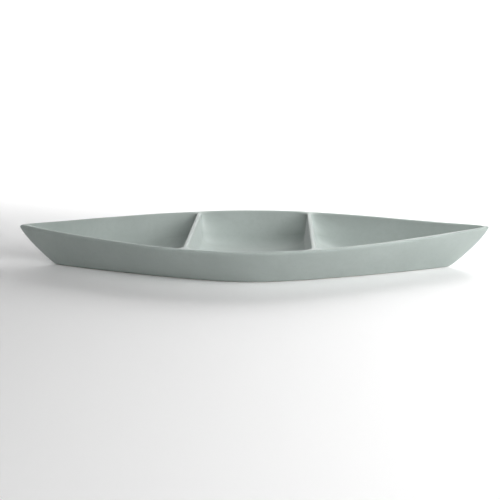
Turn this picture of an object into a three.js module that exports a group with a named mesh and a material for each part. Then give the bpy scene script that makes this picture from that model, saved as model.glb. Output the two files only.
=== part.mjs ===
// Boat-shaped divided serving dish: floor slab, two curved wall slabs mitred at the stems, two cross dividers.
// Millimetres, +Z up, +X along the length, -Y is the front. The underside rests on z = 0.
import * as THREE from 'three';

// ---- driving dimensions -------------------------------------------------------------------------
const LENGTH = 450;            // tip to tip at the rim
const RIM_HALF = 71.0;         // half width at the middle of the rim's thickness
const BASE_HALF = 46.9;        // half width of the underside
const BASE_LEFT = 193.1;       // underside's reach to the left end
const BASE_RIGHT = 190.5;      // underside's reach to the right end, where the heel is rounder
const HEIGHT_MID = 36.7;       // rim height at the middle
const SHEER = 4.0;             // how much higher the rim is at the tips
const STEM_BOW = 1.352;        // convexity of the stems seen from the side
const WALL_BOW = 1.16;         // convexity of the walls in cross-section
const WALL_TOP = 4.2;          // wall thickness at the rim
const WALL_TIP_LEFT = 4.2;     // the same at the left tip
const WALL_TIP_RIGHT = 2.2;    // the same at the right tip
const WALL_FOOT = 6.4;         // wall thickness at the foot
const RIM_OUT = 4.2;           // height of the rim's outer rounding
const RIM_OUT_TIP_LEFT = 3.6;  // the same at the left tip
const RIM_OUT_TIP_RIGHT = 2.0; // the same at the right tip
const RIM_IN = 1.8;            // height of the rim's inner rounding
const RIM_IN_TIP = 1.2;        // the same at the tips
const RIM_CREST = 0.6;         // place of the rim's highest line across the thickness, from the outside
const RIM_FULL = 2.4;          // fullness of the roundings, 2 is an ellipse
const NOSE = 0.03;             // share of the half length over which the stem's edge is rounded
const CREASE_LEFT = 3.0;       // inside radius where the two walls meet at the left stem
const CREASE_RIGHT = 1.6;      // the same at the right stem
const FLOOR = 6.5;             // floor thickness
const COVE = 26;               // radius between walls and floor
const COVE_SHARE = 0.55;       // most of the inner half width that a cove may take
const HEEL_ROUND = 1.2;        // rounding of the outer bottom edge
const HEEL_LEFT = 1.5;         // how far the left stem's heel is drawn in at its rounding
const HEEL_RIGHT = 3.6;        // the same at the right stem
const HEEL_RISE = 2.6;         // height of that rounding
const SEAT_LEDGE = 1.5;        // flat strip on the wall's foot beside the floor slab
const SEAT_TAPER = 1.5;        // how much narrower the floor slab is at its underside
const SLAB_END = 2.6;          // half width of the floor slab's blunt ends
const DIV_LEFT = -56.1;        // left divider's place along the length
const DIV_RIGHT = 57.5;        // right divider's place along the length
const DIV_CREST = 4.2;         // divider thickness just under its crest
const DIV_DRAFT = 0.2;         // widening of each divider face per mm of depth
const DIV_FLARE = 12;          // depth of the hollow where a divider runs into the coves
const DIV_FLARE_TOP = 5;       // the same against the walls, just under the rim
const DIV_FLARE_FLOOR = 11;    // the same over the middle of the floor
const DIV_REACH = 40;          // length of the hollow along the coves and the floor
const DIV_REACH_TOP = 14;      // the same along the walls, just under the rim
const DIV_ROUND = 2.2;         // height of the rounding on a divider's crest
const GAP = 0.3;               // joint gap between slabs
const PLAN_SOFT = 0.16;        // roundness of the plan outline at the middle

// ---- shape functions: t runs from tip to tip (-1 to 1), z is the height --------------------------
const spread = (t, a) => (Math.pow(t * t + PLAN_SOFT ** 2, a / 2) - PLAN_SOFT ** a)
  / (Math.pow(1 + PLAN_SOFT ** 2, a / 2) - PLAN_SOFT ** a);
const lens = (t, half, a, b) => 0.3 + (half - 0.3) * Math.pow(Math.max(1 - spread(t, a), 0), b);
const nose = (t) => 1 - Math.exp(-(1 - Math.min(Math.abs(t), 1)) / NOSE);
const rimOuter = (t) => lens(t, RIM_HALF, 1.6195, 1.0728) + (WALL_TOP / 2) * nose(t);
const baseOuter = (t) => lens(t, BASE_HALF - 1, 1.1937, 0.9404) + nose(t);
const rimZ = (t) => HEIGHT_MID + SHEER * t * t;
const rimOut = (t) => RIM_OUT + ((t < 0 ? RIM_OUT_TIP_LEFT : RIM_OUT_TIP_RIGHT) - RIM_OUT) * t ** 4;
const rimIn = (t) => RIM_IN + (RIM_IN_TIP - RIM_IN) * t ** 4;
const reach = (t) => (t < 0 ? BASE_LEFT : BASE_RIGHT);
const heelIn = (t, z) => (t < 0 ? HEEL_LEFT : HEEL_RIGHT) * Math.pow(Math.max(1 - z / HEEL_RISE, 0), 4);
const topWall = (t) => {
  const q = Math.max((Math.abs(t) - 0.8) / 0.2, 0);
  return WALL_TOP + ((t < 0 ? WALL_TIP_LEFT : WALL_TIP_RIGHT) - WALL_TOP) * q * q * (3 - 2 * q);
};
const stationX = (t, z) => {
  const s = Math.min(z / rimZ(t), 1);
  return t * (reach(t) - heelIn(t, z) + (LENGTH / 2 - reach(t)) * (1 - Math.pow(1 - s, STEM_BOW)));
};
const solve = (f, lo, hi) => {        // root of a rising function
  let a = lo, b = hi;
  for (let i = 0; i < 46; i += 1) { const m = (a + b) / 2; if (f(m) < 0) a = m; else b = m; }
  return (a + b) / 2;
};
const stationT = (x, z) => solve((t) => stationX(t, z) - x, -1, 1);
const outerY = (t, z) => {
  const s = Math.min(Math.max(z / rimZ(t), 0), 1);
  return baseOuter(t) + (rimOuter(t) - baseOuter(t)) * (1 - Math.pow(1 - s, WALL_BOW));
};
const slant = (t, z) => {
  const e = 1e-3, z0 = Math.min(z, rimZ(t) * 0.98), t0 = Math.max(Math.min(t, 0.95), -0.95);
  const yx = (outerY(t0 + e, z0) - outerY(t0 - e, z0)) / (stationX(t0 + e, z0) - stationX(t0 - e, z0));
  const yz = (outerY(t0, z0 + 0.1) - outerY(t0, z0)) / 0.1;
  return Math.sqrt(1 + yx * yx + yz * yz);
};
const plainInner = (t, z) => outerY(t, z)
  - (WALL_FOOT + (topWall(t) - WALL_FOOT) * Math.min(z / rimZ(t), 1)) * slant(t, z);

// the inner faces meet near the stems in a rounded crease
const creases = new Map();
const crease = (side, z) => {
  const key = side + ':' + z.toFixed(4);
  if (!creases.has(key)) {
    const t0 = side * solve((q) => -plainInner(side * q, z), 0.3, 0.999);
    const x0 = Math.abs(stationX(t0, z));
    const m = plainInner(stationT(side * (x0 - 9), z), z) / 9, sin = m / Math.sqrt(1 + m * m);
    const r = side < 0 ? CREASE_LEFT : CREASE_RIGHT;
    creases.set(key, { x0, sin, r, end: stationT(side * (x0 - r * (1 / sin - 1)), z) });
  }
  return creases.get(key);
};
const wallInner = (t, z) => {
  const y = plainInner(t, z);
  if (Math.abs(t) < 0.5) return y;
  const c = crease(Math.sign(t), z), d = c.x0 - Math.abs(stationX(t, z));
  if (d > c.r * (1 - c.sin * c.sin) / c.sin) return y;
  return Math.sqrt(Math.max(c.r ** 2 - (c.r / c.sin - d) ** 2, 0));
};
const cove = (t) => {
  const y0 = Math.max(wallInner(t, FLOOR), 0.05);
  const psi = Math.atan((plainInner(t, FLOOR + 6) - plainInner(t, FLOOR)) / 6);
  const k = 1 / Math.tan((Math.PI / 2 + psi) / 2);
  const r = Math.max(Math.pow(COVE ** -4 + Math.pow(COVE_SHARE * y0 / k, -4), -0.25), 1.6);
  return { r, psi, yc: y0 - r * k, zc: FLOOR + r, zt: FLOOR + r * (1 - Math.sin(psi)) };
};
const full = (u) => Math.pow(Math.max(1 - Math.pow(Math.min(Math.max(u, 0), 1), RIM_FULL), 0), 1 / RIM_FULL);
// inner face from the floor to the top of the rim, along the length where the dividers are
const innerY = (t, z) => {
  const c = cove(t);
  if (z < c.zt) return c.yc + Math.sqrt(Math.max(c.r ** 2 - (c.zc - Math.max(z, FLOOR)) ** 2, 0));
  const q = RIM_CREST + (1 - RIM_CREST) * full((z - rimZ(t) + rimIn(t)) / rimIn(t));
  return outerY(t, z) + (wallInner(t, z) - outerY(t, z)) * q;
};
const roomY = (x, z) => innerY(stationT(x, z), z);

// ---- closed skins -------------------------------------------------------------------------------
// turns every face the same way round, outwards
const oriented = (points, faces) => {
  const edges = new Map(), done = new Array(faces.length).fill(false);
  faces.forEach((f, i) => f.forEach((a, k) => {
    const b = f[(k + 1) % 3], key = Math.min(a, b) + ',' + Math.max(a, b);
    if (!edges.has(key)) edges.set(key, []);
    edges.get(key).push(i);
  }));
  const queue = [0];
  done[0] = true;
  while (queue.length) {
    const f = faces[queue.pop()];
    for (let k = 0; k < 3; k += 1) {
      const a = f[k], b = f[(k + 1) % 3];
      for (const n of edges.get(Math.min(a, b) + ',' + Math.max(a, b))) {
        if (done[n]) continue;
        const g = faces[n], at = g.indexOf(a);
        if (g[(at + 1) % 3] === b) [g[1], g[2]] = [g[2], g[1]];
        done[n] = true;
        queue.push(n);
      }
    }
  }
  let volume = 0;
  for (const [a, b, c] of faces) {
    const [p, q, r] = [points[a], points[b], points[c]];
    volume += p[0] * (q[1] * r[2] - q[2] * r[1]) - p[1] * (q[0] * r[2] - q[2] * r[0]) + p[2] * (q[0] * r[1] - q[1] * r[0]);
  }
  return { points, faces: volume > 0 ? faces : faces.map(([a, b, c]) => [a, c, b]) };
};
const fill = (ids, flat) => THREE.ShapeUtils.triangulateShape(flat.map((p) => new THREE.Vector2(p[0], p[1])), [])
  .map((f) => f.map((k) => ids[k]));
const area = (p, q, r) => new THREE.Triangle(...[p, q, r].map((v) => new THREE.Vector3(...v))).getArea();
// closed skin through rings of equally many points; the end rings are filled as seen along X or Y
const loft = (rings, seen) => {
  const n = rings[0].length, points = rings.flat(), faces = [];
  for (let i = 0; i + 1 < rings.length; i += 1) {
    for (let j = 0; j < n; j += 1) {
      const a = i * n + j, b = i * n + (j + 1) % n;
      const one = [[a, b, b + n], [a, b + n, a + n]], two = [[a, b, a + n], [b, b + n, a + n]];
      const least = (pair) => Math.min(...pair.map((f) => area(...f.map((k) => points[k]))));
      faces.push(...(least(one) >= least(two) * 0.5 ? one : two));
    }
  }
  for (const i of [0, rings.length - 1]) {
    faces.push(...fill(rings[i].map((_, k) => i * n + k), rings[i].map((p) => [p[seen === 'x' ? 1 : 0], p[2]])));
  }
  return oriented(points, faces);
};

// ---- wall slab, on the +Y side; its end rings are the mitre faces at the stems ----------------------
const MITRE = GAP / 2, SHIFT = 0.7;
const inside = (t, z) => {      // station on the inner face that belongs to station t on the outer face
  const a = Math.abs(t), s = Math.sign(t) || 1;
  return a <= SHIFT ? t : s * (SHIFT + (a - SHIFT) * (Math.abs(crease(s, z).end) - SHIFT) / (1 - SHIFT));
};
const slabT = (s) => solve((q) => SLAB_END + SEAT_LEDGE - cove(s * q).yc, 0.3, Math.abs(crease(s, FLOOR).end) - 0.01);
const outside = (s, q) => (q <= SHIFT ? q : SHIFT + (q - SHIFT) * (1 - SHIFT) / (Math.abs(crease(s, FLOOR).end) - SHIFT));
const SLAB = { '-1': slabT(-1), 1: slabT(1) };
const wallRing = (t) => {
  const ring = [], top = rimZ(t), tip = Math.abs(t) > 0.9999;
  const put = (x, y, z) => ring.push([x, tip ? MITRE : Math.max(y, MITRE), z]);
  const heel = Math.min(HEEL_ROUND, 0.5 * (outerY(t, 0) - MITRE));
  put(stationX(t, 0), outerY(t, 0) - heel, 0);
  put(stationX(t, 0.4), outerY(t, 0.4) - heel * 0.3, 0.4);
  for (const s of [0.035, 0.14, 0.29, 0.44, 0.6, 0.74]) put(stationX(t, s * top), outerY(t, s * top), s * top);
  const ti = inside(t, top - rimOut(t)), zi = rimZ(ti) - rimIn(ti);
  for (let k = 0; k <= 12; k += 1) {
    const a = Math.PI * k / 12, c = Math.pow(Math.abs(Math.cos(a)), 2 / RIM_FULL), h = 1 - Math.pow(Math.max(Math.sin(a), 0), 2 / RIM_FULL);
    const q = k < 6 ? RIM_CREST * (1 - c) : RIM_CREST + (1 - RIM_CREST) * c, mix = (u, v) => u + (v - u) * q;
    const ho = top - (k < 6 ? rimOut(t) : rimIn(t)) * h, hi = rimZ(ti) - (k < 6 ? rimOut(ti) : rimIn(ti)) * h;
    put(mix(stationX(t, ho), stationX(ti, hi)), mix(outerY(t, ho), wallInner(ti, hi)), mix(ho, hi));
  }
  const tf = inside(t, FLOOR), cv = cove(tf), slab = Math.abs(tf) <= SLAB[Math.sign(tf) || 1] + 1e-6;
  for (const s of [0.78, 0.52, 0.26, 0]) {
    const z = cv.zt + (zi - cv.zt) * s, ts = inside(t, z);
    put(stationX(ts, z), wallInner(ts, z), z);
  }
  for (const q of [0.17, 0.34, 0.5, 0.67, 0.84]) {
    const a = cv.psi + (Math.PI / 2 - cv.psi) * q, z = cv.zc - cv.r * Math.sin(a);
    put(stationX(inside(t, z), z), cv.yc + cv.r * Math.cos(a), z);
  }
  const drop = tip ? 1 : 0;
  put(stationX(tf, FLOOR), Math.max(cv.yc, MITRE + 0.1), FLOOR);
  put(stationX(tf, FLOOR - drop), slab ? cv.yc - SEAT_LEDGE : MITRE, FLOOR - drop);
  put(stationX(tf, 0), slab ? cv.yc - SEAT_LEDGE - SEAT_TAPER : MITRE, 0);
  return ring;
};
const stations = (s) => {
  const cut = outside(s, SLAB[s]);
  const q = [0.06, 0.12, 0.18, 0.24, 0.3, 0.36, 0.42, 0.48, 0.54, 0.6, 0.66, 0.7, 0.74, 0.78, 0.82, 0.86, 0.895, 0.925, 0.948, 0.965, 0.98, 0.991];
  return [...q.filter((v) => Math.abs(v - cut) > 0.012), cut, cut + 0.0025, 1].sort((a, b) => a - b);
};
const along = [...stations(-1).map((q) => -q).reverse(), 0, ...stations(1)];
const wall = loft(along.map(wallRing), 'y');

// ---- floor slab between the feet of the walls ------------------------------------------------------
const slabStations = along.map((t) => inside(t, FLOOR)).filter((t) => Math.abs(t) < SLAB[Math.sign(t) || 1] - 0.004);
const floor = loft([-SLAB[-1] + 0.0016, ...slabStations, SLAB[1] - 0.0016].map((t) => {
  const w = cove(t).yc - SEAT_LEDGE - GAP, x = stationX(t, FLOOR), low = stationX(t, 0);
  return [[low, w - SEAT_TAPER, 0], [x, w, FLOOR], [x, 0, FLOOR], [x, -w, FLOOR], [low, SEAT_TAPER - w, 0], [low, 0, 0]];
}), 'x');

// ---- divider: drafted slab with a rounded crest, flared where it runs into walls and floor -----------
const divider = (x0) => {
  const t0 = stationT(x0, HEIGHT_MID), crest = rimZ(t0), zr = crest - DIV_ROUND;
  const tc = stationT(x0, FLOOR), c = cove(tc);
  // outline of the room in the divider's plane: down one wall, round the cove, over the floor, and up again
  const half = [], ease = (q) => q * q * (3 - 2 * q);
  const wallLow = c.zt, wy = (z) => roomY(x0, z), psi = Math.atan((wy(zr) - wy(wallLow)) / (zr - wallLow));
  for (let k = 0; k <= 5; k += 1) {
    const q = k / 5, z = zr + (wallLow - zr) * q, tilt = psi * (1 - q);
    const len = 1 / Math.cos(tilt), ang = psi - tilt;
    const flare = DIV_FLARE_TOP + (DIV_FLARE - DIV_FLARE_TOP) * ease(q), along = DIV_REACH_TOP + (DIV_REACH - DIV_REACH_TOP) * q * (2 - q);
    half.push([wy(z), z, -Math.cos(ang) * len, Math.sin(ang) * len, flare, along]);
  }
  for (let k = 1; k <= 5; k += 1) {
    const a = psi + (Math.PI / 2 - psi) * k / 5, z = Math.max(c.zc - c.r * Math.sin(a), FLOOR);
    half.push([k === 5 ? c.yc : wy(z), z, -Math.cos(a), Math.sin(a), DIV_FLARE, DIV_REACH]);
  }
  half.push([c.yc * 0.5, FLOOR, 0, 1, DIV_FLARE_FLOOR + (DIV_FLARE - DIV_FLARE_FLOOR) / 4, DIV_REACH]);
  const outline = [...half, [0, FLOOR, 0, 1, DIV_FLARE_FLOOR, DIV_REACH], ...half.map(([y, z, dy, dz, f, g]) => [-y, z, -dy, dz, f, g]).reverse()];
  const fan = [0, 18, 36, 54, 72, 90].map((d) => d * Math.PI / 180), arc = [0, 22, 45, 67.5, 90, 112.5, 135, 158, 180].map((d) => d * Math.PI / 180);
  const face = (z) => DIV_CREST / 2 + (zr - z) * DIV_DRAFT;
  const points = [], faces = [], flat = [];
  const put = (y, z, dx) => {
    const ratio = roomY(x0 + dx, z) / roomY(x0, z);
    points.push([x0 + dx, y * ratio, z]);
    flat.push([y, z]);
    return points.length - 1;
  };
  const n = outline.length, last = fan.length - 1, K = arc.length - 1;
  const side = [1, -1].map((s) => outline.map(([y, z, dy, dz, flare, along]) => fan.map((f) => {
    const d = GAP + flare * (1 - Math.cos(f)), py = y + dy * d, pz = Math.min(z + dz * d, zr);
    return put(py, pz, s * (face(pz) + along * (1 - Math.sin(f))));
  })));
  const quad = (a, b, d, e) => faces.push([a, b, d], [a, d, e]);
  for (const s of side) for (let i = 0; i + 1 < n; i += 1) for (let j = 0; j < last; j += 1) quad(s[i][j], s[i + 1][j], s[i + 1][j + 1], s[i][j + 1]);
  // joint face against walls and floor
  const under = outline.map(([y, z, dy, dz, flare, along], i) => arc.map((a, k) => {
    if (k === 0) return side[0][i][0];
    if (k === K) return side[1][i][0];
    const py = y + dy * GAP, pz = Math.min(z + dz * GAP, zr);
    return put(py, pz, (face(pz) + along) * Math.cos(a));
  }));
  for (let i = 0; i + 1 < n; i += 1) for (let k = 0; k < K; k += 1) quad(under[i][k], under[i + 1][k], under[i + 1][k + 1], under[i][k + 1]);
  // faces and crest
  const yTop = flat[side[0][0][last]][0], mids = [0.7, 0.4, 0.1, -0.2, -0.5, -0.8];
  const rims = side.map((s, w) => [...s[0], ...mids.map((m) => put(yTop * m, zr, (w ? -1 : 1) * face(zr))), ...[...s[n - 1]].reverse()]);
  side.forEach((s, w) => {
    const ids = [...s.map((row) => row[last]), ...rims[w].slice(fan.length, fan.length + mids.length).reverse()];
    faces.push(...fill(ids, ids.map((k) => flat[k])));
  });
  const cap = rims[0].map((id, m) => arc.map((a, k) => {
    if (k === 0) return id;
    if (k === K) return rims[1][m];
    const w = points[id][0] - x0, cx = Math.sign(Math.cos(a)) * Math.pow(Math.abs(Math.cos(a)), 2 / RIM_FULL);
    const z = Math.min(zr + DIV_ROUND * Math.pow(Math.sin(a), 2 / RIM_FULL), crest - 0.02);
    const x = x0 + w * cx, low = roomY(x, zr), y = low + (roomY(x, z) - low) * 0.7 - 0.08 * (z - zr);
    points.push([x, flat[id][0] / roomY(x0, zr) * y, z]);
    return points.length - 1;
  }));
  for (let m = 0; m + 1 < cap.length; m += 1) for (let k = 0; k < K; k += 1) quad(cap[m][k], cap[m + 1][k], cap[m + 1][k + 1], cap[m][k + 1]);
  for (const [row, low] of [[cap[0], under[0]], [cap[cap.length - 1], under[n - 1]]]) {
    for (let k = 0; k < K; k += 1) {
      if (k > 0) faces.push([low[k], row[k], low[k + 1]]);
      if (k + 1 < K) faces.push([row[k], row[k + 1], low[k + 1]]);
    }
  }
  return oriented(points, faces);
};

// ---- assembly -----------------------------------------------------------------------------------
const part = new THREE.Group();
part.name = 'divided_serving_bowl';
const add = (name, skin, mirror = 1) => {
  const geometry = new THREE.BufferGeometry();
  geometry.setAttribute('position', new THREE.Float32BufferAttribute(skin.points.flatMap(([x, y, z]) => [x, y * mirror, z]), 3));
  geometry.setIndex(skin.faces.flatMap(([a, b, c]) => (mirror > 0 ? [a, b, c] : [a, c, b])));
  geometry.computeVertexNormals();
  const color = new THREE.Color().setRGB(0.545, 0.596, 0.572, THREE.SRGBColorSpace);
  const node = new THREE.Mesh(geometry, new THREE.MeshStandardMaterial({ color, roughness: 0.42, metalness: 0 }));
  node.name = name;
  part.add(node);
};
add('floor', floor);
add('back_wall', wall);
add('front_wall', wall, -1);
add('left_divider', divider(DIV_LEFT));
add('right_divider', divider(DIV_RIGHT));

export default part;
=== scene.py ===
"""Looks for the boat-shaped divided serving dish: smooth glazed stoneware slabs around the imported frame. Metres, +Z up, -Y is the front."""

import math

import bpy
import numpy as np
from mathutils import Matrix, Vector


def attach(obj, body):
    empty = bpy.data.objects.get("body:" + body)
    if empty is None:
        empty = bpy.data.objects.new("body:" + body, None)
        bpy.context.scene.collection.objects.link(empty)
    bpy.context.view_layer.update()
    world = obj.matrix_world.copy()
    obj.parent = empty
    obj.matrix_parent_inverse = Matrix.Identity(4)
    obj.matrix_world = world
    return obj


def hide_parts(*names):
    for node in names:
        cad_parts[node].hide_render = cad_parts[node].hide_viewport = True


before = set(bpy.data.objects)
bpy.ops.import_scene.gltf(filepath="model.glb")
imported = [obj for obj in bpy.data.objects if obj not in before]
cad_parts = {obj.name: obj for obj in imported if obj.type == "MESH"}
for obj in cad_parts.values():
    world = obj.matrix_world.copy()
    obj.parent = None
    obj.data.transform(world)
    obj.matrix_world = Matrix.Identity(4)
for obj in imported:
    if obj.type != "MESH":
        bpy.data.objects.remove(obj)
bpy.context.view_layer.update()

MM = 0.001

# ---- the dish's dimensions in millimetres, as in the solids ------------------------------------------
LENGTH = 450.0
RIM_HALF = 71.0
BASE_HALF = 46.9
BASE_LEFT = 193.1
BASE_RIGHT = 190.5
HEIGHT_MID = 36.7
SHEER = 4.0
STEM_BOW = 1.352
WALL_BOW = 1.16
WALL_TOP = 4.2
WALL_TIP_LEFT = 4.2
WALL_TIP_RIGHT = 2.2
WALL_FOOT = 6.4
RIM_OUT = 4.2
RIM_OUT_TIP_LEFT = 3.6
RIM_OUT_TIP_RIGHT = 2.0
RIM_IN = 1.8
RIM_IN_TIP = 1.2
RIM_CREST = 0.6
RIM_FULL = 2.4
NOSE = 0.03
CREASE_LEFT = 3.0
CREASE_RIGHT = 1.6
FLOOR = 6.5
COVE = 26.0
COVE_SHARE = 0.55
HEEL_ROUND = 1.2
HEEL_LEFT = 1.5
HEEL_RIGHT = 3.6
HEEL_RISE = 2.6
SEAT_LEDGE = 1.5
SEAT_TAPER = 1.5
DIV_LEFT = -56.1
DIV_RIGHT = 57.5
DIV_CREST = 4.2
DIV_DRAFT = 0.2
DIV_FLARE = 12.0
DIV_FLARE_TOP = 5.0
DIV_FLARE_FLOOR = 11.0
DIV_REACH = 40.0
DIV_REACH_TOP = 14.0
DIV_ROUND = 2.2
SINK = -0.02  # how far a divider's flare dips under the wall's skin, so that no seam shows
PLAN_SOFT = 0.16
SHIFT = 0.7


# ---- shape functions: t runs from tip to tip (-1 to 1), z is the height --------------------------------
def spread(t, a):
    return ((t * t + PLAN_SOFT**2) ** (a / 2) - PLAN_SOFT**a) / ((1 + PLAN_SOFT**2) ** (a / 2) - PLAN_SOFT**a)


def lens(t, half, a, b):
    return 0.3 + (half - 0.3) * np.maximum(1 - spread(t, a), 0) ** b


def nose(t):
    return 1 - np.exp(-(1 - np.minimum(np.abs(t), 1)) / NOSE)


def rim_outer(t):
    return lens(t, RIM_HALF, 1.6195, 1.0728) + WALL_TOP / 2 * nose(t)


def base_outer(t):
    return lens(t, BASE_HALF - 1, 1.1937, 0.9404) + nose(t)


def rim_z(t):
    return HEIGHT_MID + SHEER * t * t


def rim_out(t):
    return RIM_OUT + (np.where(t < 0, RIM_OUT_TIP_LEFT, RIM_OUT_TIP_RIGHT) - RIM_OUT) * t**4


def rim_in(t):
    return RIM_IN + (RIM_IN_TIP - RIM_IN) * t**4


def station_x(t, z):
    s = np.clip(z / rim_z(t), 0, 1)
    reach = np.where(t < 0, BASE_LEFT, BASE_RIGHT)
    heel = np.where(t < 0, HEEL_LEFT, HEEL_RIGHT) * np.maximum(1 - z / HEEL_RISE, 0) ** 4
    return t * (reach - heel + (LENGTH / 2 - reach) * (1 - (1 - s) ** STEM_BOW))


def solve(f, lo, hi, n=46):
    """Root of a rising function, for whole arrays."""
    a, b = np.array(lo, float), np.array(hi, float)
    for _ in range(n):
        m = (a + b) / 2
        low = f(m) < 0
        a, b = np.where(low, m, a), np.where(low, b, m)
    return (a + b) / 2


def station_t(x, z):
    x, z = np.broadcast_arrays(np.asarray(x, float), np.asarray(z, float))
    return solve(lambda t: station_x(t, z) - x, np.full(x.shape, -1.0), np.full(x.shape, 1.0))


def outer_y(t, z):
    s = np.clip(z / rim_z(t), 0, 1)
    return base_outer(t) + (rim_outer(t) - base_outer(t)) * (1 - (1 - s) ** WALL_BOW)


def slant(t, z):
    e = 1e-3
    z0, t0 = np.minimum(z, rim_z(t) * 0.98), np.clip(t, -0.95, 0.95)
    yx = (outer_y(t0 + e, z0) - outer_y(t0 - e, z0)) / (station_x(t0 + e, z0) - station_x(t0 - e, z0))
    yz = (outer_y(t0, z0 + 0.1) - outer_y(t0, z0)) / 0.1
    return np.sqrt(1 + yx * yx + yz * yz)


def top_wall(t):
    q = np.clip((np.abs(t) - 0.8) / 0.2, 0, 1)
    return WALL_TOP + (np.where(t < 0, WALL_TIP_LEFT, WALL_TIP_RIGHT) - WALL_TOP) * q * q * (3 - 2 * q)


def plain_inner(t, z):
    return outer_y(t, z) - (WALL_FOOT + (top_wall(t) - WALL_FOOT) * np.minimum(z / rim_z(t), 1)) * slant(t, z)


# where the two inner faces meet near a stem, tabled over the height
Z_TABLE = np.linspace(0, HEIGHT_MID + SHEER, 240)
CREASES = {}
for side in (-1, 1):
    t0 = side * solve(lambda q: -plain_inner(side * q, Z_TABLE), np.full(240, 0.3), np.full(240, 0.999))
    x0 = np.abs(station_x(t0, Z_TABLE))
    m = plain_inner(station_t(side * (x0 - 9), Z_TABLE), Z_TABLE) / 9
    sin = m / np.sqrt(1 + m * m)
    radius = CREASE_LEFT if side < 0 else CREASE_RIGHT
    end = np.abs(station_t(side * (x0 - radius * (1 / sin - 1)), Z_TABLE))
    CREASES[side] = (x0, sin, end)


def crease(t, z, k):
    z = np.asarray(z, float)
    return np.where(t < 0, np.interp(z, Z_TABLE, CREASES[-1][k]), np.interp(z, Z_TABLE, CREASES[1][k]))


def wall_inner(t, z):
    t, z = np.broadcast_arrays(np.asarray(t, float), np.asarray(z, float))
    y = plain_inner(t, z)
    x0, sin = crease(t, z, 0), crease(t, z, 1)
    d = x0 - np.abs(station_x(t, z))
    radius = np.where(t < 0, CREASE_LEFT, CREASE_RIGHT)
    round_y = np.sqrt(np.maximum(radius**2 - (radius / sin - d) ** 2, 0))
    near = (np.abs(t) > 0.5) & (d < radius * (1 - sin * sin) / sin)
    return np.where(near, round_y, y)


def cove(t):
    """Radius, wall angle, centre y and z, and upper end of the hollow between wall and floor."""
    y0 = np.maximum(wall_inner(t, FLOOR), 0.05)
    psi = np.arctan((plain_inner(t, FLOOR + 6) - plain_inner(t, FLOOR)) / 6)
    k = 1 / np.tan((np.pi / 2 + psi) / 2)
    r = (COVE**-4.0 + (COVE_SHARE * y0 / k) ** -4.0) ** -0.25
    r = np.maximum(r, 0.4)
    return r, psi, y0 - r * k, FLOOR + r, FLOOR + r * (1 - np.sin(psi))


def full(u):
    return np.maximum(1 - np.clip(u, 0, 1) ** RIM_FULL, 0) ** (1 / RIM_FULL)


def inner_y(t, z):
    r, psi, yc, zc, zt = cove(t)
    low = yc + np.sqrt(np.maximum(r**2 - (zc - np.maximum(z, FLOOR)) ** 2, 0))
    q = RIM_CREST + (1 - RIM_CREST) * full((z - rim_z(t) + rim_in(t)) / rim_in(t))
    high = outer_y(t, z) + (wall_inner(t, z) - outer_y(t, z)) * q
    return np.where(z < zt, low, high)


def room_y(x, z):
    x, z = np.broadcast_arrays(np.asarray(x, float), np.asarray(z, float))
    return inner_y(station_t(x, z), z)


def inside(t, z):
    a = np.abs(t)
    end = crease(t, z, 2)
    return np.where(a <= SHIFT, t, np.sign(t) * (SHIFT + (a - SHIFT) * (end - SHIFT) / (1 - SHIFT)))


# ---- hand-made unevenness: the same gentle field for every slab, so joints stay closed --------------------
def uneven(p):
    x, y, z = p[:, 0], p[:, 1], p[:, 2]
    a = 0.16 * np.sin(x * 0.043 + 1.3) * np.cos(z * 0.061 + 0.4) + 0.10 * np.sin(x * 0.101 + z * 0.07 + 0.8)
    b = 0.13 * np.sin(x * 0.037 - 0.6) * np.sin(y * 0.02 + 0.9) + 0.07 * np.cos(x * 0.087 + y * 0.05)
    lift = np.clip((z - 1.0) / 10.0, 0, 1)
    lift = lift * lift * (3 - 2 * lift)
    out = p.copy()
    out[:, 1] += a * lift * np.tanh(y / 6.0)
    out[:, 2] += b * np.clip((z - FLOOR - 2) / 24.0, 0, 1) ** 2
    return out


# ---- mesh building ------------------------------------------------------------------------------------
def piece(name, points, faces, material, sharp=38.0):
    co = uneven(np.asarray(points, float)) * MM
    mesh = bpy.data.meshes.new(name)
    mesh.from_pydata(co.tolist(), [], faces)
    import bmesh

    bm = bmesh.new()
    bm.from_mesh(mesh)
    bmesh.ops.remove_doubles(bm, verts=bm.verts, dist=2e-6)
    bmesh.ops.dissolve_degenerate(bm, edges=bm.edges, dist=1e-6)
    bmesh.ops.recalc_face_normals(bm, faces=bm.faces)
    bm.to_mesh(mesh)
    bm.free()
    mesh.validate()
    mesh.shade_smooth()
    mesh.set_sharp_from_angle(angle=math.radians(sharp))
    mesh.materials.append(material)
    obj = bpy.data.objects.new(name, mesh)
    bpy.context.scene.collection.objects.link(obj)
    return obj


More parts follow.
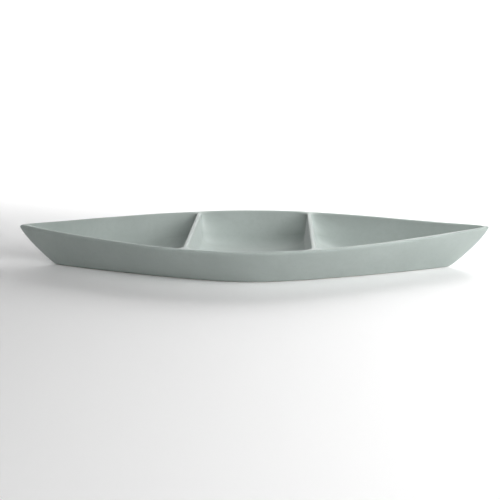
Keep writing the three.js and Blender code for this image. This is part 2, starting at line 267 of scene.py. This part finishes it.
def wall_points():
    """Rings of the wall slab on the +Y side. The end rings lie in the mitre plane y = 0."""
    q = np.concatenate([np.linspace(0, 0.9, 64, endpoint=False), 1 - 0.1 * (1 - np.linspace(0, 1, 34)) ** 1.9])
    ts = np.concatenate([-q[:0:-1], q])
    top = rim_z(ts)
    tip = np.abs(ts) > 0.99999
    rows = []

    def soft_nose(y, x_tip, x):
        d = np.maximum(x_tip - np.abs(x), 0)
        return np.sqrt(np.maximum(y - 0.3 * np.exp(-d / 2), 0) ** 2 + 1.5 * d * np.exp(-d / 3.0))

    def outer(t, z):
        y, x = outer_y(t, z), station_x(t, z)
        return x, soft_nose(y, np.abs(station_x(np.sign(t + 1e-9), z)), x)

    def put(x, y, z):
        y = np.where(tip, 0.0, np.maximum(y, 0.0))
        rows.append(np.stack([x, y, np.broadcast_to(z, x.shape)], 1))

    # outer bottom edge, rounded
    xo, yo = outer(ts, np.full(ts.shape, HEEL_ROUND * 1.2))
    heel = np.minimum(HEEL_ROUND, 0.6 * yo)
    for a in np.linspace(0, np.pi / 2, 6):
        z = HEEL_ROUND * (1 - math.cos(a)) * np.ones_like(ts)
        x, y = outer(ts, z)
        put(x, y - heel * (1 - math.sin(a)), z)
    for s in np.linspace(0, 1, 17)[1:-1]:
        z = HEEL_ROUND + (top - rim_out(ts) - HEEL_ROUND) * s
        x, y = outer(ts, z)
        put(x, y, z)
    ti = inside(ts, top - rim_out(ts))
    zi = rim_z(ti) - rim_in(ti)
    for k in range(33):  # the rim: a tall rounding on the outside up to the crest, a short one on the inside
        a = np.pi * k / 32
        c, h = abs(math.cos(a)) ** (2 / RIM_FULL), 1 - max(math.sin(a), 0) ** (2 / RIM_FULL)
        w, drop = (RIM_CREST * (1 - c), rim_out) if k < 16 else (RIM_CREST + (1 - RIM_CREST) * c, rim_in)
        ho, hi = top - drop(ts) * h, rim_z(ti) - drop(ti) * h
        x1, y1 = outer(ts, ho)
        x2, y2 = station_x(ti, hi), wall_inner(ti, hi)
        put(x1 + (x2 - x1) * w, y1 + (y2 - y1) * w, ho + (hi - ho) * w)
    tf = inside(ts, np.full(ts.shape, FLOOR))
    r, psi, yc, zc, zt = cove(tf)
    for s in np.linspace(1, 0, 16)[1:]:
        z = zt + (zi - zt) * s
        tz = inside(ts, z)
        put(station_x(tz, z), wall_inner(tz, z), z)
    for w in np.linspace(0, 1, 25)[1:]:
        a = psi + (np.pi / 2 - psi) * w
        z = zc - r * np.sin(a)
        put(station_x(inside(ts, z), z), yc + r * np.cos(a), z)
    edge = np.maximum(yc - SEAT_LEDGE, 0.0)
    xf, xb = station_x(tf, np.full(ts.shape, FLOOR)), station_x(tf, np.zeros_like(ts))
    put(xf, edge, np.full(ts.shape, FLOOR))
    put(xb, np.maximum(edge - SEAT_TAPER, 0.0), np.zeros_like(ts))
    ring = np.stack(rows, 1)  # station, place on the section, xyz
    return ring, (tf, edge, xf, xb)


def skin(ring):
    m, n = ring.shape[:2]
    faces = [(i * n + j, i * n + (j + 1) % n, (i + 1) * n + (j + 1) % n, (i + 1) * n + j) for i in range(m - 1) for j in range(n)]
    faces.append(tuple(range(n)))
    faces.append(tuple((m - 1) * n + k for k in reversed(range(n))))
    return ring.reshape(-1, 3), faces


def floor_points(edges):
    tf, edge, xf, xb = edges
    keep = np.where(edge > 1e-6)[0]
    keep = np.arange(max(keep[0] - 1, 0), min(keep[-1] + 2, len(tf)))
    rings = []
    for i in keep:
        e, b = edge[i], max(edge[i] - SEAT_TAPER, 0.0)
        across = np.linspace(1, -1, 13)
        rings.append([[xf[i], e * s, FLOOR] for s in across] + [[xb[i], b * s, 0.0] for s in across[::-1]])
    return np.array(rings)


def divider_mesh(x0):
    """A drafted slab with a rounded crest that flares into walls and floor. Same construction as its solid, finer."""
    t0 = station_t(x0, HEIGHT_MID)
    crest = float(rim_z(t0))
    zr = crest - DIV_ROUND
    tc = station_t(x0, FLOOR)
    r, psi0, yc, zc, zt = (float(v) for v in cove(tc))
    psi = math.atan((float(room_y(x0, zr)) - float(room_y(x0, zt))) / (zr - zt))
    half = []
    for q in np.linspace(0, 1, 19):
        z = zr + (zt - zr) * q
        tilt = psi * (1 - q)
        flare = DIV_FLARE_TOP + (DIV_FLARE - DIV_FLARE_TOP) * q * q * (3 - 2 * q)
        along = DIV_REACH_TOP + (DIV_REACH - DIV_REACH_TOP) * q * (2 - q)
        half.append([float(room_y(x0, z)), z, -math.cos(psi - tilt) / math.cos(tilt), math.sin(psi - tilt) / math.cos(tilt), flare, along])
    for k in range(1, 19):
        a = psi + (math.pi / 2 - psi) * k / 18
        z = max(zc - r * math.sin(a), FLOOR)
        half.append([yc if k == 18 else float(room_y(x0, z)), z, -math.cos(a), math.sin(a), DIV_FLARE, DIV_REACH])
    rows_in = len(half)  # rows of the flat face, from the crest down
    flat_n = 7
    for k in range(1, flat_n):
        half.append([yc * (1 - k / flat_n), FLOOR, 0.0, 1.0, DIV_FLARE_FLOOR + (DIV_FLARE - DIV_FLARE_FLOOR) * (1 - k / flat_n) ** 2, DIV_REACH])
    out = np.array(half + [[0.0, FLOOR, 0.0, 1.0, DIV_FLARE_FLOOR, DIV_REACH]] + [[-y, z, -dy, dz, f, g] for y, z, dy, dz, f, g in reversed(half)])
    n = len(out)
    fan = np.radians(np.linspace(0, 90, 17))
    arc = np.radians(np.linspace(0, 180, 25))
    K, last = len(arc) - 1, len(fan) - 1

    def half_width(z):
        return DIV_CREST / 2 + (zr - z) * DIV_DRAFT

    pts, faces, plan = [], [], []

    def put(y, z, dx):
        y, z, dx = (np.atleast_1d(np.asarray(v, float)) for v in (y, z, dx))
        ratio = room_y(x0 + dx, z) / room_y(x0, z)
        first = len(pts)
        pts.extend(np.stack([x0 + dx, y * ratio, z], 1).tolist())
        plan.extend(np.stack([y, z], 1).tolist())
        return list(range(first, first + len(y)))

    def quad(a, b, c, d):
        faces.append((a, b, c, d))

    sides = []
    for s in (1, -1):
        grid = []
        for y, z, dy, dz, flare, along in out:
            d = SINK + flare * (1 - np.cos(fan))
            py, pz = y + dy * d, np.minimum(z + dz * d, zr)
            grid.append(put(py, pz, s * (half_width(pz) + along * (1 - np.sin(fan)))))
        sides.append(grid)
        for i in range(n - 1):
            for j in range(last):
                quad(grid[i][j], grid[i + 1][j], grid[i + 1][j + 1], grid[i][j + 1])
    under = []
    for i, (y, z, dy, dz, flare, along) in enumerate(out):
        py, pz = y + dy * SINK, min(z + dz * SINK, zr)
        mid = put(np.full(K - 1, py), np.full(K - 1, pz), (half_width(pz) + along) * np.cos(arc[1:-1]))
        under.append([sides[0][i][0]] + mid + [sides[1][i][0]])
    for i in range(n - 1):
        for k in range(K):
            quad(under[i][k], under[i + 1][k], under[i + 1][k + 1], under[i][k + 1])
    # flat faces, row by row from the crest to the foot
    cols = 2 * flat_n
    rims = []
    for s, grid in zip((1, -1), sides):
        rows = []
        for r_i in range(rows_in):
            left, right = grid[r_i][last], grid[n - 1 - r_i][last]
            if r_i == rows_in - 1:
                rows.append([grid[k][last] for k in range(r_i, n - r_i)])
                continue
            y_i, z_i = plan[left]
            ys = y_i * (1 - 2 * np.arange(1, cols) / cols)
            rows.append([left] + put(ys, np.full(cols - 1, z_i), np.full(cols - 1, s * half_width(z_i))) + [right])
        for a, b in zip(rows, rows[1:]):
            for k in range(cols):
                quad(a[k], b[k], b[k + 1], a[k + 1])
        rims.append(grid[0][:-1] + rows[0] + grid[n - 1][:-1][::-1])
    cap = []
    for i0, i1 in zip(*rims):
        w = pts[i0][0] - x0
        w2 = x0 - pts[i1][0]
        c = np.sign(np.cos(arc[1:-1])) * np.abs(np.cos(arc[1:-1])) ** (2 / RIM_FULL)
        z = zr + DIV_ROUND * np.sin(arc[1:-1]) ** (2 / RIM_FULL)
        x = x0 + np.where(c > 0, w, w2) * c
        share = plan[i0][0] / float(room_y(x0, zr))
        y = share * room_y(x, np.minimum(z, crest - 0.003))
        first = len(pts)
        pts.extend(np.stack([x, y, z], 1).tolist())
        plan.extend(np.stack([y, z], 1).tolist())
        cap.append([i0] + list(range(first, first + K - 1)) + [i1])
    for a, b in zip(cap, cap[1:]):
        for k in range(K):
            quad(a[k], b[k], b[k + 1], a[k + 1])
    for row, low in ((cap[0], under[0]), (cap[-1], under[-1])):
        for k in range(K):
            if k == 0:
                faces.append((row[0], row[1], low[1]))
            elif k == K - 1:
                faces.append((row[k], row[k + 1], low[k]))
            else:
                quad(low[k], row[k], row[k + 1], low[k + 1])
    return pts, faces


# ---- materials ----------------------------------------------------------------------------------------
class Nodes:
    def __init__(self, name):
        self.mat = bpy.data.materials.new(name)
        self.mat.use_nodes = True
        self.tree = self.mat.node_tree
        self.tree.nodes.clear()

    def add(self, kind, **values):
        node = self.tree.nodes.new(kind)
        inputs = values.pop("inputs", {})
        for key, value in values.items():
            setattr(node, key, value)
        for key, value in inputs.items():
            self.set(node.inputs[key], value)
        return node

    def set(self, socket, value):
        if isinstance(value, bpy.types.NodeSocket):
            self.tree.links.new(value, socket)
        else:
            socket.default_value = value

    def math(self, op, a, b=0.0, c=None, clamp=False):
        node = self.add("ShaderNodeMath", operation=op, use_clamp=clamp)
        self.set(node.inputs[0], a)
        self.set(node.inputs[1], b)
        if c is not None:
            self.set(node.inputs[2], c)
        return node.outputs[0]

    def ramp(self, value, lo, hi, a=0.0, b=1.0):
        node = self.add("ShaderNodeMapRange", interpolation_type="SMOOTHSTEP", clamp=True)
        for key, v in (("Value", value), ("From Min", lo), ("From Max", hi), ("To Min", a), ("To Max", b)):
            self.set(node.inputs[key], v)
        return node.outputs["Result"]

    def noise(self, vector, scale, detail=3.0, rough=0.5):
        node = self.add("ShaderNodeTexNoise", noise_dimensions="3D")
        for key, v in (("Vector", vector), ("Scale", scale), ("Detail", detail), ("Roughness", rough)):
            self.set(node.inputs[key], v)
        return node.outputs["Fac"]

    def mix(self, fac, a, b, blend="MIX"):
        node = self.add("ShaderNodeMix", data_type="RGBA", blend_type=blend)
        self.set(node.inputs["Factor"], fac)
        self.set(node.inputs[6], a)
        self.set(node.inputs[7], b)
        return node.outputs[2]


def rgb(r, g, b):
    f = lambda c: c / 12.92 if c <= 0.04045 else ((c + 0.055) / 1.055) ** 2.4
    return (f(r / 255), f(g / 255), f(b / 255), 1.0)


def glaze_material():
    m = Nodes("satin_glaze")
    pos = m.add("ShaderNodeTexCoord").outputs["Object"]
    xyz = m.add("ShaderNodeSeparateXYZ", inputs={"Vector": pos})
    x, y, z = xyz.outputs
    # height below the rim line, in metres
    t2 = m.math("POWER", m.math("DIVIDE", x, LENGTH / 2 * MM), 2.0)
    rim = m.math("MULTIPLY_ADD", t2, SHEER * MM, HEIGHT_MID * MM)
    below = m.math("SUBTRACT", rim, z)
    # painted highlight: mask that is 1 at the rim line and fades out 2.6 mm below it, for a lighter rim band
    edge = m.ramp(below, 0.0, 0.0026, 1.0, 0.0)
    cloud = m.noise(pos, 26.0, 4.0, 0.55)
    fine = m.noise(pos, 210.0, 3.0, 0.6)
    speck = m.noise(pos, 900.0, 2.0, 0.5)
    base = m.mix(m.ramp(cloud, 0.35, 0.68), rgb(162, 172, 168), rgb(168, 178, 174))
    base = m.mix(m.ramp(fine, 0.40, 0.72, 0.0, 0.35), base, rgb(155, 165, 160))
    base = m.mix(m.ramp(speck, 0.66, 0.78, 0.0, 0.35), base, rgb(142, 152, 147))
    # painted highlight: the rim band mixed 15% toward a lighter green, as if the rim top caught the light
    base = m.mix(m.math("MULTIPLY", edge, 0.15), base, rgb(174, 183, 178))
    clay = m.mix(m.noise(pos, 420.0, 4.0, 0.65), rgb(196, 186, 170), rgb(176, 165, 148))
    bare = m.ramp(m.math("ADD", z, m.math("MULTIPLY", m.math("SUBTRACT", fine, 0.5), 0.0005)), 0.00025, 0.0006, 1.0, 0.0)
    colour = m.mix(bare, base, clay)
    rough = m.math("MULTIPLY_ADD", cloud, 0.10, 0.36)
    rough = m.math("ADD", rough, m.math("MULTIPLY", speck, 0.05))
    rough = m.math("MULTIPLY_ADD", bare, 0.4, rough)
    grain = m.math("ADD", m.math("MULTIPLY", m.noise(pos, 95.0, 2.0, 0.5), 0.7), m.math("MULTIPLY", m.noise(pos, 1500.0, 2.0, 0.5), 0.12))
    bump = m.add("ShaderNodeBump", inputs={"Strength": 0.22, "Distance": 0.0006, "Height": grain})
    shader = m.add("ShaderNodeBsdfPrincipled")
    m.set(shader.inputs["Base Color"], colour)
    m.set(shader.inputs["Roughness"], rough)
    m.set(shader.inputs["Normal"], bump.outputs["Normal"])
    shader.inputs["IOR"].default_value = 1.5
    shader.inputs["Specular IOR Level"].default_value = 0.45
    shader.inputs["Sheen Weight"].default_value = 0.45
    shader.inputs["Sheen Roughness"].default_value = 0.4
    out = m.add("ShaderNodeOutputMaterial")
    m.tree.links.new(shader.outputs["BSDF"], out.inputs["Surface"])
    return m.mat


def floor_material():
    m = Nodes("pale_floor")
    shader = m.add("ShaderNodeBsdfPrincipled")
    pos = m.add("ShaderNodeTexCoord").outputs["Object"]
    m.set(shader.inputs["Base Color"], m.mix(m.noise(pos, 3.0, 2.0), (0.93, 0.93, 0.93, 1), (0.95, 0.95, 0.95, 1)))
    shader.inputs["Roughness"].default_value = 0.9
    shader.inputs["Specular IOR Level"].default_value = 0.1
    out = m.add("ShaderNodeOutputMaterial")
    m.tree.links.new(shader.outputs["BSDF"], out.inputs["Surface"])
    return m.mat


GLAZE = glaze_material()

# ---- pieces -------------------------------------------------------------------------------------------
ring, edges = wall_points()
points, faces = skin(ring)
back = piece("glazed_back_wall", points, faces, GLAZE)
mirrored = points * np.array([1.0, -1.0, 1.0])
front = piece("glazed_front_wall", mirrored, [tuple(reversed(f)) for f in faces], GLAZE)
points, faces = skin(floor_points(edges))
slab = piece("glazed_floor", points, faces, GLAZE)
left = piece("glazed_left_divider", *divider_mesh(DIV_LEFT), GLAZE)
right = piece("glazed_right_divider", *divider_mesh(DIV_RIGHT), GLAZE)
for obj, node in ((back, "back_wall"), (front, "front_wall"), (slab, "floor"), (left, "left_divider"), (right, "right_divider")):
    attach(obj, "root")
    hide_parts(node)

# ---- floor, light, camera -------------------------------------------------------------------------------
mesh = bpy.data.meshes.new("studio_floor")
profile = [(-6.0, -0.0001), (1.2, -0.0001)]  # flat under the dish, curving up into a backdrop far behind it
profile += [(1.2 + 1.4 * math.sin(a), 1.4 * (1 - math.cos(a)) - 0.0001) for a in np.linspace(0, math.pi / 2, 33)[1:]]
profile += [(2.6, 4.0)]
verts = [(x, y, z) for y, z in profile for x in (-6.0, 6.0)]
mesh.from_pydata(verts, [], [(2 * k, 2 * k + 1, 2 * k + 3, 2 * k + 2) for k in range(len(profile) - 1)])
mesh.shade_smooth()
mesh.materials.append(floor_material())
ground = bpy.data.objects.new("studio_floor", mesh)
bpy.context.scene.collection.objects.link(ground)


def area_light(name, place, target, size, power, colour=(1, 1, 1)):
    data = bpy.data.lights.new(name, "AREA")
    data.shape = "RECTANGLE"
    data.size, data.size_y = size
    data.energy = power
    data.color = colour
    obj = bpy.data.objects.new(name, data)
    obj.location = place
    obj.rotation_euler = (Vector(target) - Vector(place)).to_track_quat("-Z", "Y").to_euler()
    bpy.context.scene.collection.objects.link(obj)
    return obj


def around(azimuth, height, far=1.3):
    """A place seen from the dish: azimuth 0 is the front, 90 the right."""
    a, e = math.radians(azimuth), math.radians(height)
    return (math.sin(a) * math.cos(e) * far, -math.cos(a) * math.cos(e) * far, math.sin(e) * far)


area_light("key", (0.80, -0.45, 0.35), (0, 0, 0.02), (0.40, 0.40), 3.95)
area_light("near_key", (0.45, -0.45, 0.45), (0, 0, 0.02), (0.40, 0.40), 1.8)
area_light("fill", around(0, 50), (0, 0, 0.02), (0.80, 0.80), 3.9)
area_light("back_right", (0.30, 0.30, 0.40), (0, 0, 0.02), (0.35, 0.35), 1.8)
area_light("backdrop_light", (0, 0.9, 1.1), (0, 2.6, 0.7), (3.0, 0.6), 60.0)
wash = area_light("floor_light", (0, 0.64, 0.90), (0, 0.641, 0), (3.2, 0.3), 11.0)
wash.data.spread = math.radians(70)
far_wash = area_light("far_floor_light", (0, -3.0, 1.8), (0, -2.999, 0), (5.0, 3.0), 60.0)
far_wash.data.spread = math.radians(70)

world = bpy.data.worlds.new("studio")
world.use_nodes = True
world.node_tree.nodes["Background"].inputs["Color"].default_value = (1, 1, 1, 1)
world.node_tree.nodes["Background"].inputs["Strength"].default_value = 0.02
scene = bpy.context.scene
scene.world = world
scene.view_settings.view_transform = "Standard"
scene.view_settings.look = "None"

YAW, PITCH, ROLL, FOCAL = -0.04379, 0.31613, -0.00789, 720.04
PLACE = Vector((27.818, -661.233, 232.192)) * MM
ahead = Vector((math.sin(YAW) * math.cos(PITCH), math.cos(YAW) * math.cos(PITCH), -math.sin(PITCH)))
across = Vector((math.cos(YAW), -math.sin(YAW), 0))
up = across.cross(ahead)
across, up = across * math.cos(ROLL) + up * math.sin(ROLL), up * math.cos(ROLL) - across * math.sin(ROLL)
data = bpy.data.cameras.new("camera")
data.sensor_fit = "HORIZONTAL"
data.sensor_width = 36.0
data.lens = FOCAL / 500 * 36.0
data.clip_start = 0.01
camera = bpy.data.objects.new("camera", data)
turn = Matrix((across, up, -ahead)).transposed().to_4x4()
camera.matrix_world = Matrix.Translation(PLACE) @ turn
scene.collection.objects.link(camera)
scene.camera = camera
